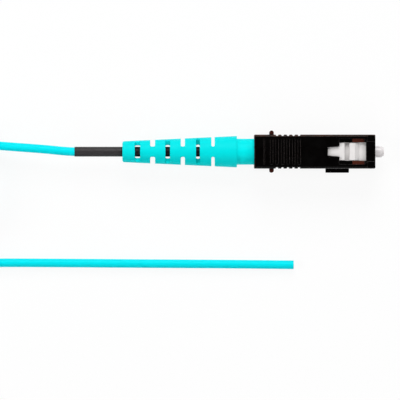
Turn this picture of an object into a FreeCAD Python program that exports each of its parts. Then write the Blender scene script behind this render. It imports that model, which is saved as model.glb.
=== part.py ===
import FreeCAD, Part
import math
import os
import re
import Sketcher

# Fibre pigtail: a push-pull square plug with a slotted strain relief boot on a 2 mm simplex cable.
# Lengths are in millimetres. The plug's axis runs along X with the ferrule's tip towards +X, the key
# points to -Y and the plug lies on one of its two window faces at Z = 0.
# Pieces of the plug are drawn in a frame of their own: x counts back from the outer housing's front
# face, y is the document's Y, and z = 0 is the plug's axis.

SIZES = {
    # ferrule and its flange
    "ferrule_diameter": 2.5,
    "ferrule_reach": 1.97,
    "ferrule_bevel_length": 0.6,
    "ferrule_bevel_depth": 0.4,
    "ferrule_tail_diameter": 2.1,
    "ferrule_tail_length": 4.1,
    "fibre_diameter": 0.125,
    "fibre_clearance": 0.01,
    "spigot_wall": 0.6,
    "spigot_clearance": 0.15,
    "flange_diameter": 4.4,
    "flange_thickness": 1.8,
    "flange_clearance": 0.15,
    "flange_barrel_diameter": 3.2,
    "flange_barrel_length": 2.3,
    "flange_tube_wall": 0.5,
    "flange_tube_length": 3.2,
    "flange_key_width": 0.7,
    "flange_key_depth": 0.45,
    "flange_key_clearance": 0.1,
    "float_travel": 1.2,
    # buffered fibre
    "buffer_diameter": 0.9,
    "buffer_clearance": 0.06,
    "buffer_in_cable": 5.0,
    # spring
    "spring_length": 7.0,
    "spring_wire": 0.4,
    "spring_turns": 5.5,
    "spring_clearance": 0.1,
    "spring_seat_gap": 0.03,
    # plug frame
    "frame_front": 0.35,
    "frame_socket_depth": 4.1,
    "frame_web": 0.65,
    "frame_wall": 0.4,
    "frame_side_wall": 0.9,
    "frame_edge_round": 0.35,
    "frame_nose_round": 0.25,
    "lug_height": 0.68,
    "lug_breadth": 3.8,
    "lug_ramp_length": 0.95,
    "lug_ridge_length": 1.15,
    "latch_groove_length": 1.08,
    "lug_flat_length": 1.1,
    "frame_rib_length": 2.55,
    "frame_rib_front_breadth": 2.15,
    "frame_rib_rear_breadth": 1.75,
    # stop ring
    "collar_length": 5.9,
    "collar_clearance": 0.05,
    "snap_length": 1.5,
    "snap_breadth": 2.0,
    "snap_clearance": 0.1,
    "shoulder_diameter": 5.3,
    "shoulder_thickness": 1.0,
    "post_diameter": 3.3,
    "post_length": 6.0,
    "post_groove_depth": 0.12,
    "post_groove_pitch": 1.2,
    # crimp sleeve and yarn
    "yarn_thickness": 0.22,
    "crimp_wall": 0.3,
    "crimp_gap": 0.01,
    "crimp_taper_length": 1.2,
    "crimp_tail_length": 4.0,
    "crimp_mouth_length": 0.6,
    "crimp_flat_length": 4.2,
    "crimp_flat_depth": 0.12,
    # outer housing
    "grip_length": 26.4,
    "grip_cap_wall": 0.75,
    "grip_side_wall": 1.05,
    "grip_edge_round": 0.5,
    "grip_end_round": 0.2,
    "slide_clearance": 0.2,
    "grip_travel": 1.5,
    "window_front": 2.03,
    "window_clearance": 0.1,
    "stop_clearance": 0.05,
    "channel_margin": 0.16,
    "recess_depth": 0.42,
    "recess_front": 1.7,
    "funnel_length": 0.7,
    "cam_breadth": 0.8,
    "cam_length": 2.6,
    "cam_depth": 0.33,
    "nose_step": 0.1,
    "key_front": 5.68,
    "key_length": 5.12,
    "key_breadth": 2.3,
    "side_reach": 0.9,
    "key_edge_round": 0.2,
    "tall_rib_from_rear": 3.8,
    "tall_rib_breadth": 0.95,
    "tall_rib_length": 7.6,
    "groove_pitch": 1.2,
    "groove_depth": 0.3,
    "groove_round": 0.32,
    "face_groove_breadth": 0.58,
    "face_groove_depth": 0.25,
    "face_groove_length": 5.6,
    "collar_line_from_rear": 2.3,
    "collar_line_breadth": 0.25,
    "neck_clearance": 0.3,
    # boot
    "boot_seat_clearance": 0.05,
    "boot_neck_wall": 0.6,
    "boot_neck_show": 3.76,
    "boot_shoulder": 0.6,
    "boot_cone_length": 25.0,
    "boot_thin_diameter": 4.56,
    "boot_front_bore": 4.0,
    "boot_exit_bore": 3.5,
    "boot_edge_round": 0.4,
    "slot_pitch": 3.3,
    "slot_first_breadth": 1.17,
    "slot_breadth_step": 0.09,
    "slot_bridge": 2.24,
    "slot_round": 0.32,
    # cable and heat-shrink sleeve
    "cable_diameter": 1.88,
    "sleeve_wall": 0.12,
    "sleeve_clearance": 0.01,
    "sleeve_show": 10.46,
    "sleeve_in_boot": 17.5,
    # put-away coil and its ties
    "coil_mean_diameter": 22.4,
    "tie_thickness": 0.3,
    "tie_breadth": 4.0,
    "tie_clearance": 0.05,
    "tie_lap_height": 4.4,
}

GRIP_GROOVES = 5
BOOT_SLOTS = 6
POST_GROOVES = 4
CRIMP_FLATS = 6
COIL_COLUMNS = 3
COIL_LAYERS = 4
TIE_BEARINGS = (-30, 150)

# The put-away coil's centre, back from the sleeve's end and across from the plug's axis.
COIL_BACK = 32.0
COIL_ACROSS = -9.1

# A cord's arc takes this share of the shorter of its two runs, and its underside clears the floor.
ARC_SHARE = 0.45
FLOOR_GAP = 0.01

# The share of its breadth that a regular octagon leaves off at each corner.
OCTAGON_CUT = (1 - math.tan(math.pi / 8)) / 2

# A slot's corner rounds take at most this share of half its breadth.
CORNER_SHARE = 0.95

# Edges this close to a place count as being there, and a swept tube's volume may be off by this share.
NEAR = 0.001
VOLUME_TOLERANCE = 0.01

# Places that several pieces share, as formulas of the sizes above.
FERRULE_TAIL = "(frame_front + frame_socket_depth)"
FLANGE_FRONT = f"({FERRULE_TAIL} + frame_web)"
FLANGE_REAR = f"({FLANGE_FRONT} + flange_thickness)"
FERRULE_REAR = f"({FERRULE_TAIL} + ferrule_tail_length)"
BARREL_REAR = f"({FLANGE_REAR} + flange_barrel_length)"
TUBE_REAR = f"({BARREL_REAR} + flange_tube_length)"
STOP_FRONT = f"({FLANGE_REAR} + spring_length)"
FRAME_REAR = f"({STOP_FRONT} + collar_length)"
SHOULDER_REAR = f"({FRAME_REAR} + shoulder_thickness)"
POST_REAR = f"({SHOULDER_REAR} + post_length)"
CRIMP_STEP = f"({POST_REAR} + crimp_gap)"
JACKET_FRONT = f"({CRIMP_STEP} + crimp_taper_length)"
CRIMP_REAR = f"({JACKET_FRONT} + crimp_tail_length)"
CHAMBER = "(flange_diameter / 2 + flange_clearance)"
SPIGOT = "(ferrule_tail_diameter / 2 + spigot_wall)"
BUFFER_BORE = "(buffer_diameter / 2 + buffer_clearance)"
YARN = "(post_diameter / 2 + yarn_thickness)"
CRIMP = f"({YARN} + crimp_gap + crimp_wall)"
JACKET = "(cable_diameter / 2)"
CRIMP_TAIL = f"({JACKET} + crimp_gap + crimp_wall)"
FRAME_HALF_HEIGHT = f"({CHAMBER} + frame_wall)"
FRAME_HALF_WIDTH = f"({CHAMBER} + frame_side_wall)"
LUG_TOP = f"({FRAME_HALF_WIDTH} + lug_height)"
LUG_FRONT = "(window_front + grip_travel)"
RIDGE_FRONT = f"({LUG_FRONT} + lug_ramp_length)"
RIDGE_REAR = f"({RIDGE_FRONT} + lug_ridge_length)"
FLAT_FRONT = f"({RIDGE_REAR} + latch_groove_length)"
FLAT_REAR = f"({FLAT_FRONT} + lug_flat_length)"
RIB_REAR = f"({FLAT_REAR} + frame_rib_length)"
SNAP_FRONT = f"({STOP_FRONT} + (collar_length - snap_length) / 2)"
CAVITY_HALF_HEIGHT = f"({FRAME_HALF_HEIGHT} + slide_clearance)"
CAVITY_HALF_WIDTH = f"({FRAME_HALF_WIDTH} + slide_clearance)"
GRIP_HALF_HEIGHT = f"({CAVITY_HALF_HEIGHT} + grip_cap_wall)"
GRIP_HALF_WIDTH = f"({CAVITY_HALF_WIDTH} + grip_side_wall)"
WINDOW_HALF = "(lug_breadth / 2 + window_clearance)"
WINDOW_REAR = f"({FLAT_REAR} + window_clearance)"
STEM_REAR = f"({RIB_REAR} + stop_clearance)"
NECK = f"({CRIMP} + boot_seat_clearance + boot_neck_wall)"
BOOT_FRONT = f"({SHOULDER_REAR} + boot_seat_clearance)"
CONE_FRONT = "(grip_length + boot_neck_show)"
BOOT_REAR = f"({CONE_FRONT} + boot_cone_length)"
THICK_END = f"({NECK} + boot_shoulder)"
SLEEVE_REAR = f"({BOOT_REAR} + sleeve_show)"

doc = FreeCAD.newDocument("fibre_pigtail")
sheet = doc.addObject("Spreadsheet::Sheet", "dims")


def fill_sheet():
    """Give every size a cell of its own, named by its alias."""
    for row, (name, size) in enumerate(SIZES.items(), start=1):
        sheet.set(f"A{row}", name)
        sheet.set(f"B{row}", str(size))
        sheet.setAlias(f"B{row}", name)
    doc.recompute()


def cells(formula):
    """Turn the size names of a formula, but no function's name, into references to the sheet's cells."""
    return re.sub(r"[a-z][a-z_]+(?![a-z_(])", lambda name: "dims." + name.group(), formula)


def value(formula):
    return float(sheet.evalExpression(formula))


def bind(feature, prop, formula):
    feature.setExpression(prop, cells(formula))


def plug_body(label):
    """A body in the plug's frame, turned so that its x counts back from the housing's front face."""
    body = doc.addObject("PartDesign::Body", label)
    body.Label = label
    body.Placement = FreeCAD.Placement(FreeCAD.Vector(), FreeCAD.Rotation(FreeCAD.Vector(0, 1, 0), 180))
    bind(body, "Placement.Base.x", f"({SLEEVE_REAR} - ferrule_reach) / 2")
    bind(body, "Placement.Base.z", GRIP_HALF_WIDTH)
    return body


def plane(body, role):
    return next(item for item in body.Origin.OriginFeatures if item.Role == role)


def sketch_on(body, role, name, offset="0"):
    """A sketch on one of the body's own planes, moved along the plane's normal."""
    sketch = body.newObject("Sketcher::SketchObject", name)
    sketch.AttachmentSupport = [(plane(body, role), "")]
    sketch.MapMode = "FlatFace"
    bind(sketch, "AttachmentOffset.Base.z", offset)
    return sketch


def dimension(sketch, places):
    """Add dimensional constraints, each tied to its formula."""
    first = sketch.ConstraintCount
    sketch.addConstraint([Sketcher.Constraint(*where, value(formula)) for where, formula in places])
    for number, (_, formula) in enumerate(places, start=first):
        bind(sketch, f"Constraints[{number}]", formula)


def polygon(sketch, corners):
    """A closed outline through corners that are pairs of formulas."""
    spots = [FreeCAD.Vector(value(x), value(y), 0) for x, y in corners]
    first = sketch.GeometryCount
    count = len(corners)
    sketch.addGeometry([Part.LineSegment(a, b) for a, b in zip(spots, spots[1:] + spots[:1])])
    sketch.addConstraint(
        [Sketcher.Constraint("Coincident", first + (n - 1) % count, 2, first + n, 1) for n in range(count)]
    )
    places = []
    for number, (x, y) in enumerate(corners, start=first):
        places.append((("DistanceX", -1, 1, number, 1), x))
        places.append((("DistanceY", -1, 1, number, 1), y))
    dimension(sketch, places)


def rectangle(sketch, x_low, x_high, y_low, y_high):
    polygon(sketch, [(x_low, y_low), (x_high, y_low), (x_high, y_high), (x_low, y_high)])


def circle(sketch, x, y, radius):
    spot = FreeCAD.Vector(value(x), value(y), 0)
    edge = sketch.addGeometry(Part.Circle(spot, FreeCAD.Vector(0, 0, 1), value(radius)))
    dimension(
        sketch,
        [
            (("DistanceX", -1, 1, edge, 3), x),
            (("DistanceY", -1, 1, edge, 3), y),
            (("Radius", edge), radius),
        ],
    )


def extrude(body, kind, sketch, length, name, both_ways=False, along_normal=True):
    """A Pad or Pocket of the sketch, along its normal, against it, or evenly to both sides."""
    feature = body.newObject(f"PartDesign::{kind}", name)
    feature.Profile = sketch
    bind(feature, "Length", length)
    if both_ways:
        feature.SideType = "Symmetric"
    feature.Reversed = along_normal == (kind == "Pocket")
    doc.recompute()
    return feature


def turn(body, kind, corners, name):
    """A Revolution or Groove of an outline of (x, radius) corners about the plug's axis."""
    sketch = sketch_on(body, "XY_Plane", f"{name}_profile")
    polygon(sketch, corners)
    feature = body.newObject(f"PartDesign::{kind}", name)
    feature.Profile = sketch
    feature.ReferenceAxis = (sketch, ["H_Axis"])
    feature.Angle = 360
    doc.recompute()
    return feature


def round_edges(body, base, picked, radius, name):
    """Fillet the edges of the base feature that the test picks."""
    names = [f"Edge{n}" for n, edge in enumerate(base.Shape.Edges, start=1) if picked(edge)]
    feature = body.newObject("PartDesign::Fillet", name)
    feature.Base = (base, names)
    bind(feature, "Radius", radius)
    doc.recompute()
    return feature


def runs_along(edge, axis):
    """Is this a straight edge along the axis numbered 0, 1 or 2?"""
    box = edge.BoundBox
    spans = [box.XLength, box.YLength, box.ZLength]
    return all(span < NEAR for number, span in enumerate(spans) if number != axis)


def lies_across(edge, places):
    """Does this edge lie across the plug at one of these places along it?"""
    box = edge.BoundBox
    return box.XLength < NEAR and any(abs(box.XMin - place) < NEAR for place in places)


def make_ferrule():
    body = plug_body("ferrule")
    bore = "(fibre_diameter / 2 + fibre_clearance)"
    turn(
        body,
        "Revolution",
        [
            ("-ferrule_reach", bore),
            ("-ferrule_reach", "ferrule_diameter / 2 - ferrule_bevel_depth"),
            ("ferrule_bevel_length - ferrule_reach", "ferrule_diameter / 2"),
            (FERRULE_TAIL, "ferrule_diameter / 2"),
            (FERRULE_TAIL, "ferrule_tail_diameter / 2"),
            (FERRULE_REAR, "ferrule_tail_diameter / 2"),
            (FERRULE_REAR, bore),
        ],
        "ferrule_turning",
    )


def make_glass_fibre():
    body = plug_body("glass_fibre")
    turn(
        body,
        "Revolution",
        [
            ("-ferrule_reach", "0"),
            ("-ferrule_reach", "fibre_diameter / 2"),
            (FERRULE_REAR, "fibre_diameter / 2"),
            (FERRULE_REAR, "0"),
        ],
        "fibre_draw",
    )


def make_ferrule_flange():
    """The holder round the ferrule's tail: spigot through the frame's web, keyed disc, barrel and tube."""
    body = plug_body("ferrule_flange")
    turn(
        body,
        "Revolution",
        [
            (FERRULE_TAIL, "ferrule_tail_diameter / 2"),
            (FERRULE_TAIL, SPIGOT),
            (FLANGE_FRONT, SPIGOT),
            (FLANGE_FRONT, "flange_diameter / 2"),
            (FLANGE_REAR, "flange_diameter / 2"),
            (FLANGE_REAR, "flange_barrel_diameter / 2"),
            (BARREL_REAR, "flange_barrel_diameter / 2"),
            (BARREL_REAR, f"{BUFFER_BORE} + flange_tube_wall"),
            (TUBE_REAR, f"{BUFFER_BORE} + flange_tube_wall"),
            (TUBE_REAR, BUFFER_BORE),
            (FERRULE_REAR, BUFFER_BORE),
            (FERRULE_REAR, "ferrule_tail_diameter / 2"),
        ],
        "flange_turning",
    )
    notches = sketch_on(body, "YZ_Plane", "key_notches", FLANGE_FRONT)
    floor = "(flange_diameter / 2 - flange_key_depth)"
    half = "(flange_key_width / 2 + flange_key_clearance)"
    rectangle(notches, floor, CHAMBER, f"-{half}", half)
    rectangle(notches, f"-{CHAMBER}", f"-{floor}", f"-{half}", half)
    extrude(body, "Pocket", notches, "flange_thickness", "key_notch_cut")


def make_tight_buffer():
    body = plug_body("tight_buffer")
    rear = f"({JACKET_FRONT} + buffer_in_cable)"
    turn(
        body,
        "Revolution",
        [
            (FERRULE_REAR, "0"),
            (FERRULE_REAR, "buffer_diameter / 2"),
            (rear, "buffer_diameter / 2"),
            (rear, "0"),
        ],
        "buffer_draw",
    )


def make_spring():
    """The ferrule's spring, with an eight-sided wire to keep its facets few."""
    body = plug_body("spring")
    sketch = sketch_on(body, "XY_Plane", "wire_section")
    front = f"({FLANGE_REAR} + spring_seat_gap)"
    rear = f"({front} + spring_wire)"
    inner = "(flange_barrel_diameter / 2 + spring_clearance)"
    outer = f"({inner} + spring_wire)"
    cut = f"({OCTAGON_CUT:.4f} * spring_wire)"
    polygon(
        sketch,
        [
            (f"{front} + {cut}", inner),
            (f"{rear} - {cut}", inner),
            (rear, f"{inner} + {cut}"),
            (rear, f"{outer} - {cut}"),
            (f"{rear} - {cut}", outer),
            (f"{front} + {cut}", outer),
            (front, f"{outer} - {cut}"),
            (front, f"{inner} + {cut}"),
        ],
    )
    coil = body.newObject("PartDesign::AdditiveHelix", "spring_coil")
    coil.Profile = sketch
    coil.ReferenceAxis = (sketch, ["H_Axis"])
    coil.Mode = "height-turns-angle"
    bind(coil, "Height", "spring_length - spring_wire - 2 * spring_seat_gap")
    bind(coil, "Turns", "spring_turns")
    doc.recompute()


def make_plug_frame():
    """The white frame: a square tube with latch lugs, a socket round the ferrule and a spring chamber."""
    body = plug_body("plug_frame")
    section = sketch_on(body, "YZ_Plane", "frame_section", "frame_front")
    rectangle(
        section, f"-{FRAME_HALF_HEIGHT}", FRAME_HALF_HEIGHT, f"-{FRAME_HALF_WIDTH}", FRAME_HALF_WIDTH
    )
    tube = extrude(body, "Pad", section, f"{FRAME_REAR} - frame_front", "frame_tube")
    bar = round_edges(body, tube, lambda edge: runs_along(edge, 0), "frame_edge_round", "frame_edges")
    nose = (value("frame_front"),)
    round_edges(body, bar, lambda edge: lies_across(edge, nose), "frame_nose_round", "frame_nose")

    lugs = sketch_on(body, "XZ_Plane", "lug_profiles")
    for side in ("", "-"):
        root = f"{side}{CHAMBER}"
        face = f"{side}{FRAME_HALF_WIDTH}"
        top = f"{side}{LUG_TOP}"
        polygon(
            lugs,
            [
                (LUG_FRONT, root),
                (LUG_FRONT, face),
                (RIDGE_FRONT, top),
                (RIDGE_REAR, top),
                (RIDGE_REAR, root),
            ],
        )
        rectangle(lugs, FLAT_FRONT, FLAT_REAR, root, top)
    extrude(body, "Pad", lugs, "lug_breadth", "latch_lugs", both_ways=True)

    rib = sketch_on(body, "XY_Plane", "rib_outline")
    front_half = "(frame_rib_front_breadth / 2)"
    rear_half = "(frame_rib_rear_breadth / 2)"
    polygon(
        rib,
        [
            (FLAT_FRONT, f"-{front_half}"),
            (FLAT_REAR, f"-{front_half}"),
            (RIB_REAR, f"-{rear_half}"),
            (RIB_REAR, rear_half),
            (FLAT_REAR, front_half),
            (FLAT_FRONT, front_half),
        ],
    )
    extrude(body, "Pad", rib, f"2 * {LUG_TOP}", "stem_rib", both_ways=True)

    turn(
        body,
        "Groove",
        [
            ("frame_front", "0"),
            ("frame_front", CHAMBER),
            (FERRULE_TAIL, CHAMBER),
            (FERRULE_TAIL, f"{SPIGOT} + spigot_clearance"),
            (FLANGE_FRONT, f"{SPIGOT} + spigot_clearance"),
            (FLANGE_FRONT, CHAMBER),
            (FRAME_REAR, CHAMBER),
            (FRAME_REAR, "0"),
        ],
        "frame_bores",
    )
    keys = sketch_on(body, "YZ_Plane", "key_section", FLANGE_FRONT)
    inner = "(flange_diameter / 2 - flange_key_depth + flange_key_clearance)"
    outer = f"({FRAME_HALF_HEIGHT} - frame_wall / 2)"
    for low, high in ((inner, outer), (f"-{outer}", f"-{inner}")):
        rectangle(keys, low, high, "-flange_key_width / 2", "flange_key_width / 2")
    extrude(body, "Pad", keys, "flange_thickness", "ferrule_keys")

    snaps = sketch_on(body, "XZ_Plane", "snap_windows")
    rectangle(
        snaps,
        f"{SNAP_FRONT} - snap_clearance",
        f"{SNAP_FRONT} + snap_length + snap_clearance",
        "-snap_breadth / 2 - snap_clearance",
        "snap_breadth / 2 + snap_clearance",
    )
    extrude(body, "Pocket", snaps, f"2 * {GRIP_HALF_HEIGHT}", "snap_window_cut", both_ways=True)


def make_stop_ring():
    """The rear body: a collar that snaps into the frame, a shoulder and the grooved crimp post."""
    body = plug_body("stop_ring")
    collar = f"({CHAMBER} - collar_clearance)"
    bore = f"({BUFFER_BORE} + flange_tube_wall + flange_clearance)"
    post = "(post_diameter / 2)"
    outline = [
        (STOP_FRONT, bore),
        (STOP_FRONT, collar),
        (FRAME_REAR, collar),
        (FRAME_REAR, "shoulder_diameter / 2"),
        (SHOULDER_REAR, "shoulder_diameter / 2"),
        (SHOULDER_REAR, post),
    ]
    for number in range(POST_GROOVES):
        start = f"{SHOULDER_REAR} + {number + 0.5} * post_groove_pitch"
        outline += [
            (start, post),
            (f"{start} + post_groove_pitch / 4", f"{post} - post_groove_depth"),
            (f"{start} + post_groove_pitch / 2", post),
        ]
    outline += [(POST_REAR, post), (POST_REAR, bore)]
    turn(body, "Revolution", outline, "stop_turning")

    snaps = sketch_on(body, "XY_Plane", "snap_profiles")
    tip = f"({FRAME_HALF_HEIGHT} - frame_wall / 4)"
    for side in ("", "-"):
        polygon(
            snaps,
            [
                (SNAP_FRONT, f"{side}{bore}"),
                (SNAP_FRONT, f"{side}{collar}"),
                (f"{SNAP_FRONT} + snap_length", f"{side}{tip}"),
                (f"{SNAP_FRONT} + snap_length", f"{side}{bore}"),
            ],
        )
    extrude(body, "Pad", snaps, "snap_breadth", "snap_lugs", both_ways=True)
    turn(
        body,
        "Groove",
        [(STOP_FRONT, "0"), (STOP_FRONT, bore), (POST_REAR, bore), (POST_REAR, "0")],
        "stop_bore",
    )


def make_aramid_yarn():
    body = plug_body("aramid_yarn")
    post = "(post_diameter / 2)"
    turn(
        body,
        "Revolution",
        [
            (SHOULDER_REAR, f"{post} + crimp_gap"),
            (SHOULDER_REAR, YARN),
            (POST_REAR, YARN),
            (JACKET_FRONT, JACKET),
            (JACKET_FRONT, BUFFER_BORE),
            (f"{JACKET_FRONT} - crimp_taper_length / 2", BUFFER_BORE),
            (CRIMP_STEP, f"{post} - crimp_gap"),
            (CRIMP_STEP, f"{post} + crimp_gap"),
        ],
        "yarn_wrap",
    )


def make_crimp_sleeve():
    """A drawn sleeve with crimped flats over the yarn, necked down onto the jacket."""
    body = plug_body("crimp_sleeve")
    front = f"({SHOULDER_REAR} + crimp_gap)"
    turn(
        body,
        "Revolution",
        [
            (front, f"{YARN} + crimp_gap"),
            (front, CRIMP),
            (CRIMP_STEP, CRIMP),
            (JACKET_FRONT, CRIMP_TAIL),
            (CRIMP_REAR, CRIMP_TAIL),
            (CRIMP_REAR, f"{JACKET} + crimp_gap"),
            (JACKET_FRONT, f"{JACKET} + crimp_gap"),
            (CRIMP_STEP, f"{YARN} + crimp_gap"),
        ],
        "crimp_drawing",
    )
    squeeze = sketch_on(body, "YZ_Plane", "crimp_flats", f"{front} + crimp_mouth_length")
    circle(squeeze, "0", "0", f"{CRIMP} + crimp_wall")
    reach = 1 / math.cos(math.pi / CRIMP_FLATS)
    corners = []
    for number in range(CRIMP_FLATS):
        angle = math.tau * number / CRIMP_FLATS
        shares = (reach * math.cos(angle), reach * math.sin(angle))
        corners.append([f"{share:.4f} * ({CRIMP} - crimp_flat_depth)" for share in shares])
    polygon(squeeze, corners)
    extrude(body, "Pocket", squeeze, "crimp_flat_length", "crimp_flat_cut")


def make_boot():
    """The strain relief: a neck over the crimp sleeve and a cone with slots that alternate by 90 degrees."""
    body = plug_body("boot")
    blank = turn(
        body,
        "Revolution",
        [
            (BOOT_FRONT, "0"),
            (BOOT_FRONT, NECK),
            (CONE_FRONT, NECK),
            (CONE_FRONT, THICK_END),
            (BOOT_REAR, "boot_thin_diameter / 2"),
            (BOOT_REAR, "0"),
        ],
        "boot_moulding",
    )
    thin_end = (value(BOOT_REAR),)
    round_edges(body, blank, lambda edge: lies_across(edge, thin_end), "boot_edge_round", "boot_thin_rim")

    def half_slot(number):
        return f"((slot_first_breadth - {number - 1} * slot_breadth_step) / 2)"

    for role, start in (("XZ_Plane", 1), ("XY_Plane", 2)):
        slots = sketch_on(body, role, f"slots_{start}")
        for number in range(start, BOOT_SLOTS + 1, 2):
            centre = f"({BOOT_REAR} - {number} * slot_pitch)"
            walls = (f"{centre} - {half_slot(number)}", f"{centre} + {half_slot(number)}")
            for side in ("", "-"):
                rectangle(slots, *walls, f"{side}slot_bridge / 2", f"{side}{THICK_END}")
        slot_cut = extrude(body, "Pocket", slots, f"2 * {THICK_END}", f"slot_cut_{start}", both_ways=True)
    floor = value("slot_bridge / 2")

    def is_floor_corner(edge):
        box = edge.BoundBox
        level = runs_along(edge, 1) and abs(abs(box.ZMin) - floor) < NEAR
        upright = runs_along(edge, 2) and abs(abs(box.YMin) - floor) < NEAR
        return level or upright

    corner_round = f"min(slot_round; {CORNER_SHARE} * {half_slot(BOOT_SLOTS)})"
    round_edges(body, slot_cut, is_floor_corner, corner_round, "slot_corners")

    socket = f"({CRIMP} + boot_seat_clearance)"
    turn(
        body,
        "Groove",
        [
            (BOOT_FRONT, "0"),
            (BOOT_FRONT, socket),
            (CRIMP_STEP, socket),
            (JACKET_FRONT, "boot_front_bore / 2"),
            (BOOT_REAR, "boot_exit_bore / 2"),
            (BOOT_REAR, "0"),
        ],
        "boot_bore",
    )


def make_outer_housing():
    """The push-pull grip: a square tube with latch windows and cams, a key, ribs and grooves."""
    body = plug_body("outer_housing")
    section = sketch_on(body, "YZ_Plane", "grip_section")
    rectangle(section, f"-{GRIP_HALF_HEIGHT}", GRIP_HALF_HEIGHT, f"-{GRIP_HALF_WIDTH}", GRIP_HALF_WIDTH)
    blank = extrude(body, "Pad", section, "grip_length", "grip_blank")
    bar = round_edges(body, blank, lambda edge: runs_along(edge, 0), "grip_edge_round", "grip_edges")
    ends = (0, value("grip_length"))
    round_edges(body, bar, lambda edge: lies_across(edge, ends), "grip_end_round", "grip_ends")

    reach = f"({GRIP_HALF_HEIGHT} + side_reach)"
    key = sketch_on(body, "XY_Plane", "key_outline")
    rectangle(key, "key_front", "key_front + key_length", f"-{reach}", f"-{CAVITY_HALF_HEIGHT}")
    key_pad = extrude(body, "Pad", key, "key_breadth", "key_block", both_ways=True)
    key_tip = -value(reach)

    def is_key_corner(edge):
        return runs_along(edge, 2) and abs(edge.BoundBox.YMin - key_tip) < NEAR

    round_edges(body, key_pad, is_key_corner, "key_edge_round", "key_corners")

    ribs = sketch_on(body, "XY_Plane", "tall_rib_outline")
    tips = sketch_on(body, "XY_Plane", "tall_rib_tips")
    rib = "(grip_length - tall_rib_from_rear)"
    half_rib = "(tall_rib_breadth / 2)"
    for side in ("", "-"):
        crown = f"{side}({reach} - {half_rib})"
        rectangle(ribs, f"{rib} - {half_rib}", f"{rib} + {half_rib}", f"{side}{CAVITY_HALF_HEIGHT}", crown)
        circle(tips, rib, crown, half_rib)
    extrude(body, "Pad", ribs, "tall_rib_length", "tall_ribs", both_ways=True)
    extrude(body, "Pad", tips, "tall_rib_length", "tall_rib_crowns", both_ways=True)

    grooves = sketch_on(body, "XY_Plane", "side_grooves")
    for number in range(1, GRIP_GROOVES + 1):
        for side in ("", "-"):
            circle(
                grooves,
                f"{rib} - {number} * groove_pitch",
                f"{side}({GRIP_HALF_HEIGHT} - groove_depth + groove_round)",
                "groove_round",
            )
    extrude(body, "Pocket", grooves, f"2 * {GRIP_HALF_WIDTH}", "side_groove_cut", both_ways=True)

    cavity = sketch_on(body, "YZ_Plane", "cavity_section")
    rectangle(
        cavity, f"-{CAVITY_HALF_HEIGHT}", CAVITY_HALF_HEIGHT, f"-{CAVITY_HALF_WIDTH}", CAVITY_HALF_WIDTH
    )
    cavity_length = f"{SHOULDER_REAR} + grip_travel / 2"
    extrude(body, "Pocket", cavity, cavity_length, "cavity_cut")
    hole_front = f"({BOOT_FRONT} - grip_travel - neck_clearance)"
    hole = sketch_on(body, "YZ_Plane", "neck_hole", hole_front)
    circle(hole, "0", "0", f"{NECK} + neck_clearance")
    extrude(body, "Pocket", hole, f"grip_length - {hole_front}", "neck_hole_cut")

    window = sketch_on(body, "XY_Plane", "window_outline")
    stem_front = "(frame_rib_front_breadth / 2 + window_clearance)"
    stem_rear = "(frame_rib_rear_breadth / 2 + window_clearance)"
    polygon(
        window,
        [
            ("window_front", f"-{WINDOW_HALF}"),
            (f"{WINDOW_REAR} - window_clearance", f"-{WINDOW_HALF}"),
            (WINDOW_REAR, f"-{stem_front} - window_clearance"),
            (f"{WINDOW_REAR} + window_clearance", f"-{stem_front}"),
            (STEM_REAR, f"-{stem_rear}"),
            (STEM_REAR, stem_rear),
            (f"{WINDOW_REAR} + window_clearance", stem_front),
            (WINDOW_REAR, f"{stem_front} + window_clearance"),
            (f"{WINDOW_REAR} - window_clearance", WINDOW_HALF),
            ("window_front", WINDOW_HALF),
        ],
    )
    extrude(body, "Pocket", window, f"2 * {GRIP_HALF_WIDTH}", "window_cut", both_ways=True)

    recess = sketch_on(body, "XY_Plane", "recess_outline", GRIP_HALF_WIDTH)
    channel = f"({WINDOW_HALF} + channel_margin)"
    cam_half = f"({WINDOW_HALF} + cam_breadth)"
    polygon(
        recess,
        [
            ("0", f"-{channel}"),
            ("recess_front", f"-{channel}"),
            ("recess_front + funnel_length", f"-{cam_half}"),
            (WINDOW_REAR, f"-{cam_half}"),
            (WINDOW_REAR, cam_half),
            ("recess_front + funnel_length", cam_half),
            ("recess_front", channel),
            ("0", channel),
        ],
    )
    recess_cut = extrude(body, "Pocket", recess, "recess_depth", "recess_cut", along_normal=False)

    cams = sketch_on(body, "XZ_Plane", "cam_profile")
    floor = f"({GRIP_HALF_WIDTH} - recess_depth)"
    cam_front = "(recess_front + funnel_length)"
    polygon(
        cams,
        [
            (cam_front, f"{floor} - cam_depth"),
            (f"{cam_front} + cam_length", floor),
            (f"{cam_front} + cam_length", f"{floor} + recess_depth / 2"),
            (cam_front, f"{floor} + recess_depth / 2"),
        ],
    )
    cam_cut = extrude(body, "Pocket", cams, f"2 * {cam_half}", "cam_cut", both_ways=True)

    nose = sketch_on(body, "XY_Plane", "nose_outline", GRIP_HALF_WIDTH)
    rectangle(nose, "0", "recess_front", f"-{GRIP_HALF_HEIGHT}", GRIP_HALF_HEIGHT)
    nose_cut = extrude(body, "Pocket", nose, "nose_step", "nose_cut", along_normal=False)

    lines = sketch_on(body, "XY_Plane", "face_grooves", GRIP_HALF_WIDTH)
    half_line = "(face_groove_length / 2)"
    half_groove = "(face_groove_breadth / 2)"
    for number in range(GRIP_GROOVES + 1):
        middle = f"({rib} - {number} * groove_pitch)"
        walls = (f"{middle} - {half_groove}", f"{middle} + {half_groove}")
        rectangle(lines, *walls, f"-{half_line}", half_line)
    collar_line = "(grip_length - collar_line_from_rear)"
    rectangle(lines, collar_line, f"{collar_line} + collar_line_breadth", f"-{half_line}", half_line)
    line_cut = extrude(body, "Pocket", lines, "face_groove_depth", "face_groove_cut", along_normal=False)

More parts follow.
